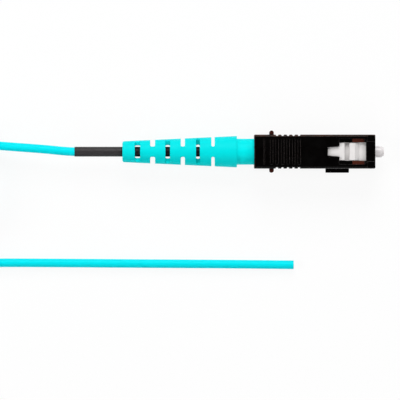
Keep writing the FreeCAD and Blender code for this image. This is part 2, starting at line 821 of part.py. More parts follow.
    other_face = body.newObject("PartDesign::Mirrored", "other_face")
    other_face.Originals = [recess_cut, cam_cut, nose_cut, line_cut]
    other_face.MirrorPlane = (plane(body, "XY_Plane"), [""])
    body.Tip = other_face
    doc.recompute()


def make_cable_root():
    """The cable's held end, inside crimp sleeve, boot and heat-shrink sleeve."""
    body = plug_body("cable_root")
    bore_end = f"({JACKET_FRONT} + buffer_in_cable + float_travel + buffer_diameter)"
    turn(
        body,
        "Revolution",
        [
            (JACKET_FRONT, BUFFER_BORE),
            (JACKET_FRONT, JACKET),
            (SLEEVE_REAR, JACKET),
            (SLEEVE_REAR, "0"),
            (bore_end, "0"),
            (bore_end, BUFFER_BORE),
        ],
        "jacket_end",
    )


def make_heat_shrink_sleeve():
    body = plug_body("heat_shrink_sleeve")
    front = f"({BOOT_REAR} - sleeve_in_boot)"
    inside = f"({JACKET} + sleeve_clearance)"
    outside = f"({inside} + sleeve_wall)"
    turn(
        body,
        "Revolution",
        [(front, inside), (front, outside), (SLEEVE_REAR, outside), (SLEEVE_REAR, inside)],
        "sleeve_tube",
    )


def cord_path(points):
    """Straight runs joined by tangent arcs as large as the runs allow. Returns the wire and the radii."""
    edges, radii = [], []
    start = points[0]
    for before, corner, after in zip(points, points[1:], points[2:]):
        inward = before - corner
        outward = after - corner
        half_turn = (math.pi - inward.getAngle(outward)) / 2
        reach = ARC_SHARE * min(inward.Length, outward.Length)
        radius = reach / math.tan(half_turn)
        radii.append(radius)
        inward.normalize()
        outward.normalize()
        arc_start = corner + inward * reach
        arc_end = corner + outward * reach
        towards = inward + outward
        towards.normalize()
        middle = corner + towards * (radius / math.cos(half_turn) - radius)
        edges.append(Part.LineSegment(start, arc_start).toShape())
        edges.append(Part.Arc(arc_start, middle, arc_end).toShape())
        start = arc_end
    edges.append(Part.LineSegment(start, points[-1]).toShape())
    return Part.Wire(edges), radii


def make_cord_tube(label, points):
    """A round tube along the route, with its volume compared with section times length."""
    path, radii = cord_path(points)
    radius = value(JACKET)
    section = Part.Wire([Part.Circle(points[0], points[1] - points[0], radius).toShape()])
    tube = path.makePipeShell([section], True, False)
    expected = math.pi * radius**2 * path.Length
    if abs(tube.Volume - expected) > VOLUME_TOLERANCE * expected:
        raise ValueError(f"{label}: volume {tube.Volume:.2f} instead of {expected:.2f}")
    print(label, f"length {path.Length:.1f} mm, arc radii", [round(radius, 1) for radius in radii])
    cord = doc.addObject("Part::Feature", label)
    cord.Label = label
    cord.Shape = tube


def exit_x():
    """Where the cable leaves the heat-shrink sleeve, in the document's X."""
    return value(f"({SLEEVE_REAR} - ferrule_reach) / 2 - {SLEEVE_REAR}")


def coil_centre():
    """The middle of the coil's underside, which stands on its ties."""
    return FreeCAD.Vector(exit_x() - COIL_BACK, COIL_ACROSS, value("tie_thickness + tie_clearance"))


def make_free_cord():
    """The lead from the sleeve to the coil, the coil's outer shape, and the tail to the bare cut end."""
    cable = value("cable_diameter")
    centre = coil_centre()
    on_floor = cable / 2 + FLOOR_GAP
    low_turn = cable / 2
    top_turn = (COIL_LAYERS - 0.5) * cable
    outer_turn = value("coil_mean_diameter / 2") + (COIL_COLUMNS - 1) / 2 * cable

    def along(back, across, up):
        return FreeCAD.Vector(exit_x() - back, across, up)

    def around(bearing, radius, up):
        angle = math.radians(bearing)
        return centre + FreeCAD.Vector(radius * math.cos(angle), radius * math.sin(angle), up)

    lead = [
        along(0, 0, value(GRIP_HALF_WIDTH)),
        along(1.8, 0, value(GRIP_HALF_WIDTH)),
        along(6.5, 0.40, 4.4),
        along(12.0, 0.86, 3.9),
        along(18.0, 1.38, 3.05),
        along(22.5, 1.95, 2.35),
        along(26.5, 3.05, 1.65),
        around(91, outer_turn, low_turn),
        around(115, outer_turn, low_turn),
    ]
    make_cord_tube("cable_lead", lead)

    tail = [
        around(165, outer_turn, top_turn),
        around(187, outer_turn + 0.12 * cable, top_turn - 0.15),
        around(209, outer_turn + 0.45 * cable, top_turn - 0.6),
        around(231, outer_turn + 0.85 * cable, top_turn - 1.4),
        around(253, outer_turn + 1.05 * cable, top_turn - 2.3),
        around(274, outer_turn + 1.07 * cable, top_turn - 3.3),
        along(COIL_BACK - 7.5, -24.35, 2.4),
        along(COIL_BACK - 16.0, -24.30, 1.25),
        along(5.0, -24.31, on_floor),
        along(-9.0, -24.36, on_floor),
        along(-22.5, -24.45, on_floor),
        along(-35.5, -24.58, on_floor),
        along(-47.93, -24.76, on_floor),
    ]
    make_cord_tube("cable_tail", tail)

    ring = doc.addObject("PartDesign::Body", "cable_coil")
    ring.Label = "cable_coil"
    ring.Placement.Base = centre
    columns = f"({COIL_COLUMNS} * cable_diameter / 2)"
    layers = f"({COIL_LAYERS} * cable_diameter)"
    corner = "(cable_diameter / 3)"
    mean = "(coil_mean_diameter / 2)"
    sketch = sketch_on(ring, "XZ_Plane", "coil_section")
    polygon(
        sketch,
        [
            (f"{mean} - {columns} + {corner}", "0"),
            (f"{mean} + {columns} - {corner}", "0"),
            (f"{mean} + {columns}", corner),
            (f"{mean} + {columns}", f"{layers} - {corner}"),
            (f"{mean} + {columns} - {corner}", layers),
            (f"{mean} - {columns} + {corner}", layers),
            (f"{mean} - {columns}", f"{layers} - {corner}"),
            (f"{mean} - {columns}", corner),
        ],
    )
    turns = ring.newObject("PartDesign::Revolution", "coil_turns")
    turns.Profile = sketch
    turns.ReferenceAxis = (sketch, ["V_Axis"])
    turns.Angle = 360
    doc.recompute()


def make_coil_ties():
    """Rounded band ties bent to the coil's curve, each with its free end laid over the outside."""
    wall = value("tie_thickness")
    clearance = value("tie_clearance")
    corner = value("cable_diameter / 3") + clearance
    mean = value("coil_mean_diameter / 2")
    half_width = COIL_COLUMNS * value("cable_diameter") / 2 + clearance
    height = COIL_LAYERS * value("cable_diameter")
    lap = value("tie_lap_height")
    sweep = math.degrees(value("tie_breadth") / mean)
    up = FreeCAD.Vector(0, 0, 1)

    def block(inner, outer, low, high, radius, bearing):
        """A piece between two radii and two heights, as broad as the tie, with rounded lengthwise edges."""
        corners = ((inner, low), (outer, low), (outer, high), (inner, high), (inner, low))
        section = Part.Face(Part.makePolygon([FreeCAD.Vector(x, 0, z) for x, z in corners]))
        piece = section.revolve(FreeCAD.Vector(), up, sweep)
        piece.rotate(FreeCAD.Vector(), up, bearing - sweep / 2)
        bent = [edge for edge in piece.Edges if isinstance(edge.Curve, Part.Circle)]
        return piece.makeFillet(radius, bent)

    def wrap(thickness, bearing):
        reach = half_width + thickness
        rise = clearance + thickness
        return block(mean - reach, mean + reach, -rise, height + rise, corner + thickness, bearing)

    skin = mean + half_width + wall
    lap_low = (height - lap) / 2
    ties = []
    for bearing in TIE_BEARINGS:
        free_end = block(skin - wall / 2, skin + wall, lap_low, lap_low + lap, wall / 2, bearing)
        tie = wrap(wall, bearing).cut(wrap(0, bearing)).fuse(free_end)
        tie.translate(coil_centre())
        ties.append(tie)
    group = doc.addObject("Part::Feature", "coil_ties")
    group.Label = "coil_ties"
    group.Shape = Part.makeCompound(ties)


def export_parts():
    """Check every object, then write each sub-part to a file named by its label."""
    doc.recompute()
    for item in doc.Objects:
        if "Invalid" in item.State or "Error" in item.State:
            raise RuntimeError(f"{item.Name} failed: {item.State}")
    os.makedirs("parts", exist_ok=True)
    for item in doc.Objects:
        is_cord = item.TypeId == "Part::Feature"
        if item.TypeId != "PartDesign::Body" and not is_cord:
            continue
        shape = item.Shape
        if shape.isNull() or not shape.isValid() or not shape.Solids:
            raise RuntimeError(f"{item.Label} has no valid solid")
        print(f"{item.Label}: {len(shape.Solids)} solid(s), {shape.Volume:.3f} mm3")
        shape.exportStep(f"parts/{item.Label}.step")


fill_sheet()
make_ferrule()
make_glass_fibre()
make_ferrule_flange()
make_tight_buffer()
make_spring()
make_plug_frame()
make_stop_ring()
make_aramid_yarn()
make_crimp_sleeve()
make_boot()
make_outer_housing()
make_cable_root()
make_heat_shrink_sleeve()
make_free_cord()
make_coil_ties()
export_parts()
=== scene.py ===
"""Looks of a fibre pigtail: the finish of its solids, its free cable, its spring, light and camera."""

import math

import bmesh
import bpy
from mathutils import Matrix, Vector


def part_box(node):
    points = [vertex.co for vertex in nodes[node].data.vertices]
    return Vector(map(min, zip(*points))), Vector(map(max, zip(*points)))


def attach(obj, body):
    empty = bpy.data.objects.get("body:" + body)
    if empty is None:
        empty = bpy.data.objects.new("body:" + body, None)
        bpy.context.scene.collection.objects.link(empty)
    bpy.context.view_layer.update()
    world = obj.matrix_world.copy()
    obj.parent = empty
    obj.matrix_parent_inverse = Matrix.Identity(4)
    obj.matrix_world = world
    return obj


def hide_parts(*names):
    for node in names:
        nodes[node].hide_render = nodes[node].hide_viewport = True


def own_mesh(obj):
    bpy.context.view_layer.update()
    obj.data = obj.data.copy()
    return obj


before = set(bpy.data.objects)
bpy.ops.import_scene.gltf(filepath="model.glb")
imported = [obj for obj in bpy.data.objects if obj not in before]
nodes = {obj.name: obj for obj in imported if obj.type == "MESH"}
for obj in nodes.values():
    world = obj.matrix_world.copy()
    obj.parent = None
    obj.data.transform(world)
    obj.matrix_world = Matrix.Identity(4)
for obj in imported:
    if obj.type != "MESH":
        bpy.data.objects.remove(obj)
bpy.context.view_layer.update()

MM = 0.001
FULL_TURN = 360

# The plug lies on a window face, so half its depth is the height of its axis.
AXIS_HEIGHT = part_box("outer_housing")[1].z / 2
SLEEVE_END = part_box("heat_shrink_sleeve")[0].x


# Building blocks of the finishes

# A Mix node's sockets for two colours and their mix. Other sockets of the node have the same names.
MIX_COLOURS = (6, 7)
MIX_RESULT = 2
# Most values of a noise lie between these.
NOISE_RANGE = (0.3, 0.7)
BEVEL_SAMPLES = 6
OPENNESS_SAMPLES = 8
# The dot product of the rounded normal and the face's own, on an edge and where its round ends.
EDGE_PRODUCT = (0.75, 0.995)
# At a scale of 1, a Wave texture's bands turn through this many radians in one unit of length.
WAVE_ANGLE = 20
THREAD_WAVER = 0.6


def shader_for(name, **sockets):
    """A new material, its node tree and its main shader with these sockets set."""
    material = bpy.data.materials.new(name)
    material.use_nodes = True
    tree = material.node_tree
    shader = tree.nodes["Principled BSDF"]
    for socket, value in sockets.items():
        shader.inputs[socket.replace("_", " ")].default_value = value
    return material, tree, shader


def maths(tree, operation, *values):
    """A Math node's result. Each value is a plain number or another node's output."""
    node = tree.nodes.new("ShaderNodeMath")
    node.operation = operation
    for value, socket in zip(values, node.inputs):
        if isinstance(value, float):
            socket.default_value = value
        else:
            tree.links.new(value, socket)
    return node.outputs["Value"]


def product(tree, first, second):
    """Two values multiplied."""
    return maths(tree, "MULTIPLY", first, second)


def size_of(tree, source):
    """The source without its sign."""
    return maths(tree, "ABSOLUTE", source)


def spread(tree, source, low, high, new_low=0.0, new_high=1.0):
    """The source's stretch from low to high, as new_low to new_high."""
    node = tree.nodes.new("ShaderNodeMapRange")
    limits = {"From Min": low, "From Max": high, "To Min": new_low, "To Max": new_high}
    for socket, value in limits.items():
        node.inputs[socket].default_value = value
    tree.links.new(source, node.inputs["Value"])
    return node.outputs["Result"]


def fade(tree, source, low, high):
    """1 up to low, falling to 0 at high."""
    return spread(tree, source, low, high, 1.0, 0.0)


def within(tree, source, rise, fall):
    """1 between two gradual changes, each given by where it starts and ends, and 0 beyond them."""
    return product(tree, spread(tree, source, *rise), fade(tree, source, *fall))


def component(tree, source, axis):
    """One axis of these texture coordinates, such as the object's own Normal or Object ones."""
    place = tree.nodes.new("ShaderNodeTexCoord")
    split = tree.nodes.new("ShaderNodeSeparateXYZ")
    tree.links.new(place.outputs[source], split.inputs["Vector"])
    return split.outputs[axis]


def noise(tree, size, detail=2.0, stretch=(1, 1, 1)):
    """Noise with blobs about this many metres across, longer along the stretched axes."""
    place = tree.nodes.new("ShaderNodeTexCoord")
    mapping = tree.nodes.new("ShaderNodeMapping")
    mapping.inputs["Scale"].default_value = [1 / (size * times) for times in stretch]
    texture = tree.nodes.new("ShaderNodeTexNoise")
    texture.inputs["Scale"].default_value = 1.0
    texture.inputs["Detail"].default_value = detail
    tree.links.new(place.outputs["Object"], mapping.inputs["Vector"])
    tree.links.new(mapping.outputs["Vector"], texture.inputs["Vector"])
    return texture.outputs["Fac"]


def weave(tree, pitch):
    """Threads this far apart that cross over and under."""
    threads = []
    for direction in ("X", "Z"):
        place = tree.nodes.new("ShaderNodeTexCoord")
        texture = tree.nodes.new("ShaderNodeTexWave")
        texture.bands_direction = direction
        texture.inputs["Scale"].default_value = math.tau / WAVE_ANGLE / pitch
        texture.inputs["Distortion"].default_value = THREAD_WAVER
        tree.links.new(place.outputs["Object"], texture.inputs["Vector"])
        threads.append(texture.outputs["Fac"])
    return maths(tree, "MAXIMUM", *threads)


def openness(tree, reach):
    """Near 0 in hollows and 1 in the open, by what stands within the reach."""
    node = tree.nodes.new("ShaderNodeAmbientOcclusion")
    node.samples = OPENNESS_SAMPLES
    node.inputs["Distance"].default_value = reach
    return node.outputs["AO"]


def bevel_normal(tree, radius):
    """The surface's normal, turned near edges as if they were rounded to this radius."""
    node = tree.nodes.new("ShaderNodeBevel")
    node.samples = BEVEL_SAMPLES
    node.inputs["Radius"].default_value = radius
    return node.outputs["Normal"]


def edge_share(tree, rounded):
    """Near 1 on edges, where the rounded normal leaves the face's own, and 0 on flat stretches."""
    geometry = tree.nodes.new("ShaderNodeNewGeometry")
    dot = tree.nodes.new("ShaderNodeVectorMath")
    dot.operation = "DOT_PRODUCT"
    tree.links.new(rounded, dot.inputs[0])
    tree.links.new(geometry.outputs["Normal"], dot.inputs[1])
    return fade(tree, dot.outputs["Value"], *EDGE_PRODUCT)


def blend(tree, share, first, second):
    """Two colours mixed by the share. Each is a colour or another node's output."""
    node = tree.nodes.new("ShaderNodeMix")
    node.data_type = "RGBA"
    tree.links.new(share, node.inputs["Factor"])
    for place, colour in zip(MIX_COLOURS, (first, second)):
        if isinstance(colour, tuple):
            node.inputs[place].default_value = (*colour, 1.0)
        else:
            tree.links.new(colour, node.inputs[place])
    return node.outputs[MIX_RESULT]


def mottle(tree, dark, light, **blobs):
    """Two colours mixed by noise with these blobs."""
    return blend(tree, noise(tree, **blobs), dark, light)


def bump(tree, shader, height, depth, normal=None):
    """Relief of this depth in metres on the shader."""
    node = tree.nodes.new("ShaderNodeBump")
    node.inputs["Distance"].default_value = depth
    tree.links.new(height, node.inputs["Height"])
    if normal:
        tree.links.new(normal, node.inputs["Normal"])
    tree.links.new(node.outputs["Normal"], shader.inputs["Normal"])


def uneven_gloss(tree, shader, size, low, high):
    """Roughness that wanders between two values, in patches about this many metres across."""
    roughness = spread(tree, noise(tree, size, detail=3.0), *NOISE_RANGE, low, high)
    tree.links.new(roughness, shader.inputs["Roughness"])


# The finishes

# Where painted highlights stand on the grip, in place of the light that its cams, rib ends, one long side
# and edges catch. Each pair is the start and the end of a gradual change, of one axis of the surface's
# normal, of a noise or of a place in metres.
CAM_LEAN_RISE = (0.09, 0.11)
CAM_LEAN_FALL = (0.15, 0.17)
CAM_LEVEL = (0.9, 0.95)
ROUND_EDGE_RISE = (0.05, 0.2)
ROUND_EDGE_FALL = (0.97, 0.985)
FAR_SIDE = (0.1, 0.2)
FAR_SIDE_HIGHLIGHT_PATCHES = (0.35, 0.7)
RIB_END_ACROSS = (3.75 * MM, 3.95 * MM)
RIB_END_LEVEL = (0.5, 0.9)
BEHIND_KEY = (18 * MM, 19 * MM)
# The face grooves end on a strip this far from the grip's middle. Edges there get no painted highlight.
UNHIGHLIGHTED_RISE = (2.55 * MM, 2.70 * MM)
UNHIGHLIGHTED_FALL = (3.10 * MM, 3.25 * MM)
PAINTED_CAM_HIGHLIGHT = (0.085, 0.021, 0.013)
PAINTED_RIB_END_HIGHLIGHT = (0.045, 0.011, 0.008)
PAINTED_FAR_SIDE_HIGHLIGHT = (0.080, 0.028, 0.015)
PAINTED_EDGE_HIGHLIGHT = (0.070, 0.057, 0.055)


def grip_plastic():
    """Black moulded plastic with painted highlights: brown on cams, rib ends and one long side, grey
    on edges.
    """
    material, tree, shader = shader_for("grip_plastic", Specular_IOR_Level=0.12)
    rounded = bevel_normal(tree, radius=0.1 * MM)
    lean = size_of(tree, component(tree, "Normal", "X"))
    level = size_of(tree, component(tree, "Normal", "Z"))
    across = size_of(tree, component(tree, "Object", "Y"))
    # Painted highlight: the cams, faces that lean slightly forward, turn brown as if they caught lamp
    # light.
    leaning = within(tree, lean, CAM_LEAN_RISE, CAM_LEAN_FALL)
    cams = product(tree, leaning, spread(tree, level, *CAM_LEVEL))
    # Painted highlight: brown on the level ends of the ribs.
    level_ends = product(tree, spread(tree, across, *RIB_END_ACROSS), spread(tree, level, *RIB_END_LEVEL))
    rib_ends = product(tree, level_ends, fade(tree, component(tree, "Object", "X"), *BEHIND_KEY))
    # Painted highlight: brown patches on the round edges of the long side that faces +Y, towards the key
    # lamp.
    round_edges = within(tree, level, ROUND_EDGE_RISE, ROUND_EDGE_FALL)
    far_edges = product(tree, round_edges, spread(tree, component(tree, "Normal", "Y"), *FAR_SIDE))
    far_side_highlight = product(tree, far_edges, spread(tree, noise(tree, 3.0 * MM, detail=3.0), *FAR_SIDE_HIGHLIGHT_PATCHES))
    # Painted highlight: grey on every edge, except where the face grooves end.
    unhighlighted = within(tree, across, UNHIGHLIGHTED_RISE, UNHIGHLIGHTED_FALL)
    edges = product(tree, edge_share(tree, rounded), fade(tree, unhighlighted, 0.0, 1.0))
    colour = mottle(tree, (0.0006, 0.0004, 0.0004), (0.0016, 0.0011, 0.0010), size=1.5 * MM)
    painted_highlights = ((cams, PAINTED_CAM_HIGHLIGHT), (rib_ends, PAINTED_RIB_END_HIGHLIGHT), (far_side_highlight, PAINTED_FAR_SIDE_HIGHLIGHT), (edges, PAINTED_EDGE_HIGHLIGHT))
    for share, highlight_colour in painted_highlights:
        colour = blend(tree, share, colour, highlight_colour)
    tree.links.new(colour, shader.inputs["Base Color"])
    uneven_gloss(tree, shader, size=2.0 * MM, low=0.22, high=0.34)
    bump(tree, shader, noise(tree, 0.09 * MM, detail=3.0), depth=0.004 * MM, normal=rounded)
    return material


def frame_plastic():
    """White moulded plastic, with painted shade that greys its hollows."""
    material, tree, shader = shader_for("frame_plastic", Specular_IOR_Level=0.3)
    rounded = bevel_normal(tree, radius=0.08 * MM)
    tint = mottle(tree, (0.85, 0.82, 0.81), (0.91, 0.885, 0.875), size=0.8 * MM, detail=3.0)
    # Painted shade: hollows turn grey by ambient occlusion.
    shaded = blend(tree, openness(tree, reach=1.8 * MM), (0.54, 0.52, 0.51), tint)
    tree.links.new(shaded, shader.inputs["Base Color"])
    uneven_gloss(tree, shader, size=1.0 * MM, low=0.30, high=0.40)
    bump(tree, shader, noise(tree, 0.12 * MM, detail=3.0), depth=0.003 * MM, normal=rounded)
    return material


def ferrule_ceramic():
    """Ground and polished ceramic, with fine grinding marks round it."""
    material, tree, shader = shader_for("ferrule_ceramic", Specular_IOR_Level=0.5)
    tint = mottle(tree, (0.88, 0.84, 0.845), (0.94, 0.905, 0.91), size=0.5 * MM, detail=3.0)
    tree.links.new(tint, shader.inputs["Base Color"])
    uneven_gloss(tree, shader, size=0.6 * MM, low=0.18, high=0.26)
    bump(tree, shader, noise(tree, 0.03 * MM, stretch=(1, 40, 40)), depth=0.001 * MM)
    return material


# Along the boot: the start of its neck, from where painted light lightens it, and a stretch in front of its
# foremost slot, over which the painted shade in the slots fades out. How open its surface is, deep in a
# slot and outside.
NECK_START = (1.5 * MM, 1.9 * MM)
BEFORE_SLOTS = (-2.0 * MM, -1.0 * MM)
SLOT_OPENNESS = (0.4, 0.9)


def boot_rubber():
    """Soft aqua moulding with a satin skin, with painted light on its neck and painted shade in its slots.
    """
    material, tree, shader = shader_for("boot_rubber", Specular_IOR_Level=0.05)
    rounded = bevel_normal(tree, radius=0.1 * MM)
    forward = component(tree, "Object", "X")
    tint = mottle(tree, (0.0, 0.78, 0.80), (0.0, 0.85, 0.865), size=2.5 * MM, detail=4.0)
    # Painted light: the neck is lightened against the shade that the grip casts on it.
    painted_neck_light = blend(tree, spread(tree, forward, *NECK_START), tint, (0.0, 0.93, 0.945))
    # Painted shade: deep in the slots the rubber turns dark teal.
    hollow = fade(tree, openness(tree, reach=0.8 * MM), *SLOT_OPENNESS)
    painted_slot_shade = product(tree, hollow, fade(tree, forward, *BEFORE_SLOTS))
    shaded = blend(tree, painted_slot_shade, painted_neck_light, (0.0, 0.33, 0.30))
    tree.links.new(shaded, shader.inputs["Base Color"])
    uneven_gloss(tree, shader, size=1.5 * MM, low=0.44, high=0.56)
    bump(tree, shader, noise(tree, 0.15 * MM, detail=3.0), depth=0.006 * MM, normal=rounded)
    return material


def cable_jacket():
    """Extruded aqua jacket with a satin skin and faint mottling."""
    material, tree, shader = shader_for("cable_jacket", Specular_IOR_Level=0.06)
    tint = mottle(tree, (0.0, 0.83, 0.92), (0.0, 0.88, 0.97), size=1.2 * MM, detail=4.0)
    tree.links.new(tint, shader.inputs["Base Color"])
    uneven_gloss(tree, shader, size=1.0 * MM, low=0.40, high=0.50)
    bump(tree, shader, noise(tree, 0.5 * MM, detail=3.0), depth=0.003 * MM)
    return material


# How open the sleeve's surface is, deep in the boot's shade and out of it.
SLEEVE_OPENNESS = (0.35, 0.85)


def shrink_sleeve():
    """Dark grey shrunk tube with fine lengthwise wrinkles, darker where the boot shades it."""
    material, tree, shader = shader_for("shrink_sleeve", Specular_IOR_Level=0.25)
    streaks = noise(tree, 0.5 * MM, detail=4.0, stretch=(4, 1, 1))
    tint = blend(tree, streaks, (0.027, 0.024, 0.025), (0.045, 0.040, 0.042))
    lit = spread(tree, openness(tree, reach=2.5 * MM), *SLEEVE_OPENNESS)
    shaded = blend(tree, lit, (0.002, 0.002, 0.003), tint)
    tree.links.new(shaded, shader.inputs["Base Color"])
    uneven_gloss(tree, shader, size=0.8 * MM, low=0.42, high=0.58)
    bump(tree, shader, noise(tree, 0.12 * MM, detail=3.0, stretch=(5, 1, 1)), depth=0.01 * MM)
    return material


def metal(name, dark, light, roughness):
    """Turned or drawn metal with fine marks round it."""
    material, tree, shader = shader_for(name, Metallic=1.0, Roughness=roughness)
    tint = mottle(tree, dark, light, size=0.05 * MM, stretch=(1, 30, 30))
    tree.links.new(tint, shader.inputs["Base Color"])
    bump(tree, shader, noise(tree, 0.04 * MM, stretch=(1, 40, 40)), depth=0.002 * MM)
    return material


def yarn_fibres():
    """Golden strands that run along the plug."""
    material, tree, shader = shader_for("yarn_fibres", Roughness=0.6)
    strands = noise(tree, 0.06 * MM, detail=3.0, stretch=(20, 1, 1))
    tint = blend(tree, strands, (0.55, 0.36, 0.05), (0.80, 0.60, 0.16))
    tree.links.new(tint, shader.inputs["Base Color"])
    bump(tree, shader, noise(tree, 0.05 * MM, stretch=(25, 1, 1)), depth=0.02 * MM)
    return material


def buffer_coat():
    """Smooth pale coat of the buffered fibre."""
    material, tree, shader = shader_for("buffer_coat", Roughness=0.35)
    tint = mottle(tree, (0.70, 0.74, 0.74), (0.80, 0.84, 0.84), size=0.6 * MM, detail=3.0)
    tree.links.new(tint, shader.inputs["Base Color"])
    bump(tree, shader, noise(tree, 0.1 * MM), depth=0.002 * MM)
    return material


def fibre_glass():
    """Clear glass of the fibre itself."""
    material, tree, shader = shader_for("fibre_glass", Roughness=0.05, Transmission_Weight=0.8, IOR=1.46)
    tint = mottle(tree, (0.86, 0.95, 0.95), (0.95, 1.0, 1.0), size=0.3 * MM)
    tree.links.new(tint, shader.inputs["Base Color"])
    return material


def tie_cloth():
    """Black woven band."""
    material, tree, shader = shader_for("tie_cloth", Roughness=0.85, Specular_IOR_Level=0.2)
    threads = weave(tree, pitch=0.35 * MM)
    tint = blend(tree, threads, (0.004, 0.004, 0.005), (0.024, 0.024, 0.026))
    tree.links.new(tint, shader.inputs["Base Color"])
    bump(tree, shader, threads, depth=0.05 * MM)
    return material


def dress_nodes():
    """Give the solids their finishes, except the three that the cable replaces, and return them by node."""
    finishes = {
        "outer_housing": grip_plastic(),
        "plug_frame": frame_plastic(),
        "ferrule": ferrule_ceramic(),
        "boot": boot_rubber(),
        "heat_shrink_sleeve": shrink_sleeve(),
        "cable_root": cable_jacket(),
        "spring": metal("spring_steel", (0.42, 0.42, 0.43), (0.60, 0.60, 0.62), roughness=0.3),
        "ferrule_flange": metal("flange_steel", (0.50, 0.49, 0.47), (0.66, 0.65, 0.62), roughness=0.28),
        "stop_ring": metal("plated_brass", (0.58, 0.54, 0.44), (0.74, 0.70, 0.60), roughness=0.25),
        "crimp_sleeve": metal("crimp_aluminium", (0.66, 0.67, 0.68), (0.80, 0.81, 0.82), roughness=0.35),
        "aramid_yarn": yarn_fibres(),
        "tight_buffer": buffer_coat(),
        "glass_fibre": fibre_glass(),
        "coil_ties": tie_cloth(),
    }
    for name, material in finishes.items():
        nodes[name].data.materials[0] = material
    return finishes


# The cable

# The cable and its put-away coil, as the solids have them. The coil stands on its ties.
CABLE = 1.88 * MM
COIL_BACK = 32.0 * MM
COIL_ACROSS = -9.1 * MM
COIL_LIFT = 0.35 * MM
COIL_CENTRE = Vector((SLEEVE_END - COIL_BACK, COIL_ACROSS, COIL_LIFT))
COIL_MEAN_RADIUS = 11.2 * MM
COIL_LAYERS = 4
# A turn of the coil is drawn by control points this far apart, which stand outside the turn itself. The
# first and the last are at these bearings, counted on from turn to turn.
COIL_STEP = 20
CONTROL_REACH = 1 / math.cos(math.radians(COIL_STEP / 2))
COIL_ENTRY = 111
COIL_EXIT = 4111
# The first turn, in cables: its column outwards from the middle one, and its middle above the underside.
FIRST_COLUMN = 1.0
FIRST_LAYER = 0.5
# The cable moves to the next place within this bearing. After a climb it starts a little earlier than a
# full turn later, so that the climbing cable and the one that makes room never meet.
MOVE_SPAN = 60
FIRST_MOVE = 370
CORNER_TURN = 340
# How far the tail lies above the plug's underside, in millimetres.
TAIL_CLEARANCE = 0.01

# How finely a round rod is drawn, and the order of the spline that it follows.
ROD_ROUND_STEPS = 10
ROD_LENGTH_STEPS = 8
SPLINE_ORDER = 3

# What the cut end shows inside the jacket: radius, how far it stands out, the solid with its finish and
# that solid's slot.
CUT_LAYERS = {
    "cut_yarn": (0.64 * MM, 0.010 * MM, "aramid_yarn", "yarn"),
    "cut_buffer": (0.45 * MM, 0.020 * MM, "tight_buffer", "buffer"),
    "cut_fibre": (0.0625 * MM, 0.024 * MM, "glass_fibre", "fibre"),
}
CUT_SEGMENTS = 40


def along(back, across, up):
    """A point of the route, in millimetres back from the sleeve's end, across from the axis and up."""
    return Vector((SLEEVE_END - back * MM, across * MM, up * MM))


def around(bearing, radius, up):
    """A point round the coil's centre, above its underside."""
    angle = math.radians(bearing)
    return COIL_CENTRE + Vector((radius * math.cos(angle), radius * math.sin(angle), up))


def smooth(share):
    """The share held between 0 and 1, with a gentle start and end."""
    share = min(max(share, 0.0), 1.0)
    return share * share * (3 - 2 * share)


def coil_moves():
    """Each move as (bearing where it starts, columns outwards, layers up), from the first turn on."""
    moves = []
    bearing = FIRST_MOVE
    inwards = True
    for layer in range(COIL_LAYERS):
        step = -1 if inwards else 1
        moves.append((bearing, step, 0))
        moves.append((bearing + FULL_TURN, step, 0))
        bearing += FULL_TURN + CORNER_TURN
        if layer < COIL_LAYERS - 1:
            moves.append((bearing, 0, 1))
            bearing += CORNER_TURN
        inwards = not inwards
    return moves


def coil_points():
    """Control points of the wound turns, from the lead's arrival to the tail's departure."""
    moves = coil_moves()
    points = []
    for bearing in range(COIL_ENTRY, COIL_EXIT + 1, COIL_STEP):
        column = FIRST_COLUMN
        layer = FIRST_LAYER
        for start, outwards, up in moves:
            share = smooth((bearing - start) / MOVE_SPAN)
            column += share * outwards
            layer += share * up
        radius = (COIL_MEAN_RADIUS + column * CABLE) * CONTROL_REACH
        points.append(around(bearing, radius, layer * CABLE))
    return points


def cable_route():
    """The whole free cable: lead, coil and tail, ending in the bare cut end."""
    outer_turn = COIL_MEAN_RADIUS + CABLE
    low_turn = CABLE / 2
    top_turn = (COIL_LAYERS - 0.5) * CABLE
    axis = AXIS_HEIGHT / MM
    on_floor = CABLE / MM / 2 + TAIL_CLEARANCE
    lead = [
        along(0, 0, axis),
        along(1.8, 0.06, axis),
        along(6.5, 0.55, 4.4),
        along(12.0, 0.95, 3.9),
        along(18.0, 1.42, 3.05),
        along(22.5, 1.95, 2.35),
        along(26.5, 3.05, 1.65),
        around(91, outer_turn, low_turn),
    ]
    tail = [
        around(170, outer_turn * CONTROL_REACH, top_turn - 0.05 * MM),
        around(189, (outer_turn + 0.12 * CABLE) * CONTROL_REACH, top_turn - 0.15 * MM),
        around(209, (outer_turn + 0.45 * CABLE) * CONTROL_REACH, top_turn - 0.6 * MM),
        around(231, (outer_turn + 0.85 * CABLE) * CONTROL_REACH, top_turn - 1.4 * MM),
        around(253, (outer_turn + 1.05 * CABLE) * CONTROL_REACH, top_turn - 2.3 * MM),
        around(274, outer_turn + 1.07 * CABLE, top_turn - 3.3 * MM),
        along(24.5, -24.35, 2.4),
        along(16.0, -24.30, 1.25),
        along(5.0, -24.35, on_floor),
        along(-9.0, -24.45, on_floor),
        along(-22.5, -24.54, on_floor),
        along(-35.5, -24.62, on_floor),
        along(-47.93, -24.76, on_floor),
    ]
    return lead + coil_points() + tail


